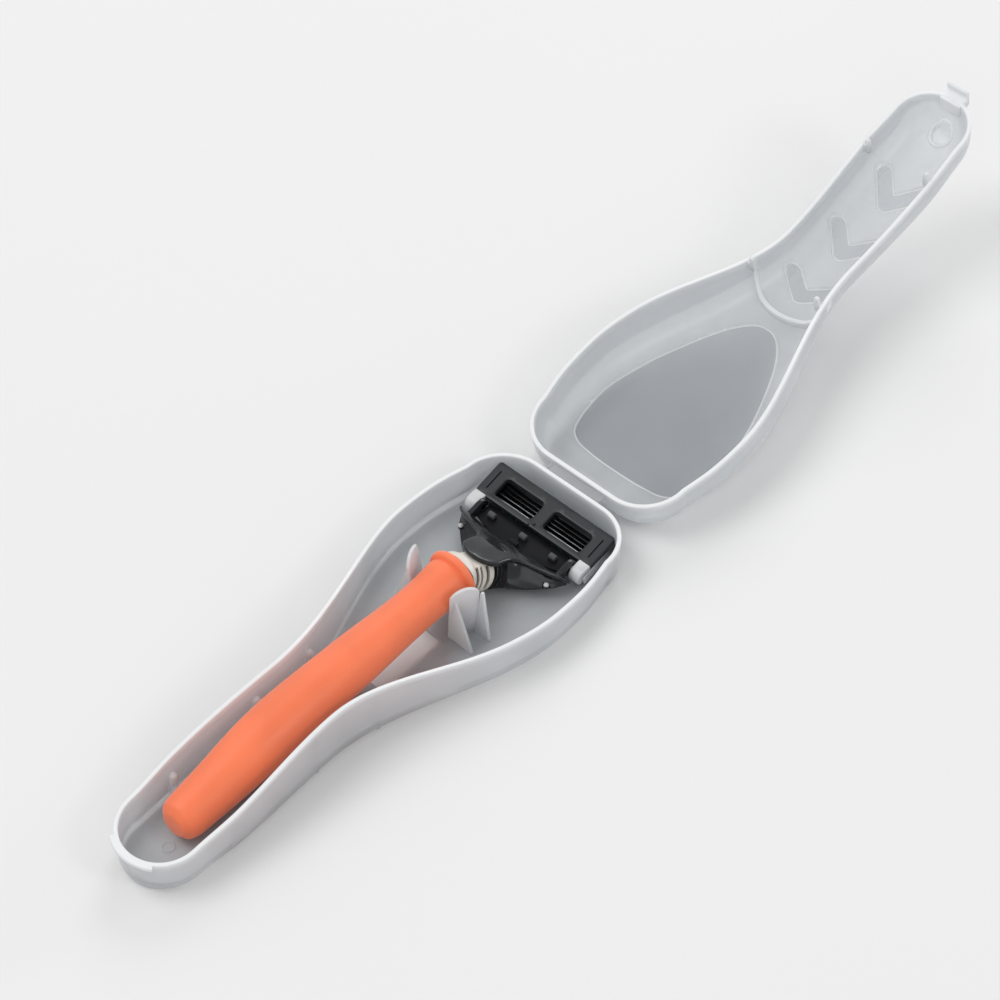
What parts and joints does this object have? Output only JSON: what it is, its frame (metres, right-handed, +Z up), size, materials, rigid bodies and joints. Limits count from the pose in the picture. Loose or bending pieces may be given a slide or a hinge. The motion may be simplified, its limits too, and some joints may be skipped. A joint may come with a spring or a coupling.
{
  "type": "shaver storage box",
  "caption": "Spoon-shaped translucent travel case lying open on its living hinge, with a razor held between clip posts in its tray.",
  "frame": {"origin": "on the tray's flat underside, below the widest part of its head", "axes": "+X towards the hinge and the open lid, +Z up, Y across"},
  "size_m": [0.3442, 0.0584, 0.05],
  "materials": {
    "milky_tray": "translucent, satin",
    "milky_lid": "translucent, satin with polished windows",
    "milky_hinge": "translucent, satin",
    "orange_grip": "soft matt",
    "dark_core": "matt",
    "dark_stem": "satin",
    "cream_button": "satin",
    "spring_wire": "drawn wire",
    "dark_head": "satin, dark grey",
    "dark_underplate": "satin",
    "plunger_plastic": "satin",
    "pin_steel": "turned",
    "black_cartridge": "satin",
    "blade_steel": "ground",
    "guard_rubber": "matt",
    "strip_gel": "waxy",
    "bright_clip": "bright, satin"
  },
  "bodies": {
    "tray": {"base_tray": "milky_tray"},
    "strap": {"hinge_strap": "milky_hinge"},
    "lid": {"lid_shell": "milky_lid"},
    "razor": {"handle_core": "dark_core", "grip_sleeve": "orange_grip", "neck_stem": "dark_stem", "button_spring": "spring_wire", "head_yoke": "dark_head", "yoke_underplate": "dark_underplate", "pivot_pin_left": "pin_steel", "pivot_pin_right": "pin_steel", "plunger_spring": "spring_wire"},
    "button": {"release_button": "cream_button"},
    "plunger": {"return_plunger": "plunger_plastic"},
    "cartridge": {"cartridge_frame": "black_cartridge", "cartridge_dock": "black_cartridge", "guard_fins": "guard_rubber", "lubricating_strip": "strip_gel", "end_clip_left": "bright_clip", "end_clip_right": "bright_clip", "blade_1": "blade_steel", "blade_2": "blade_steel", "blade_3": "blade_steel", "blade_4": "blade_steel", "blade_5": "blade_steel"}
  },
  "joints": [
    {"name": "strap_fold", "type": "hinge", "parent": "tray", "child": "strap", "pos_m": [0.03745, 0, 0.0111], "axis": [0, -1, 0], "range_deg": [0, 84.85]},
    {"name": "lid_fold", "type": "hinge", "parent": "strap", "child": "lid", "pos_m": [0.04014, 0, 0.01134], "axis": [0, -1, 0], "range_deg": [0, 84.85]},
    {"name": "razor_lift", "type": "slide", "parent": "tray", "child": "razor", "axis": [0, 0, 1], "range_m": [0, 0.003]},
    {"name": "cartridge_pivot", "type": "hinge", "parent": "razor", "child": "cartridge", "pos_m": [0.0181, 0, 0.0065], "axis": [0, -1, 0], "range_deg": [0, 25], "stiffness_Nm_per_rad": 0.01, "springref_deg": -20.05},
    {"name": "plunger_slide", "type": "slide", "parent": "razor", "child": "plunger", "axis": [1, 0, 0], "range_m": [-0.0009, 0]},
    {"name": "release_button", "type": "slide", "parent": "razor", "child": "button", "axis": [0.866, 0, -0.5], "range_m": [0, 0.0015], "stiffness_N_per_m": 250, "springref_m": -0.001}
  ],
  "couplings": [
    {"joint": "plunger_slide", "follows": "cartridge_pivot", "m_per_rad": -0.00206}
  ]
}
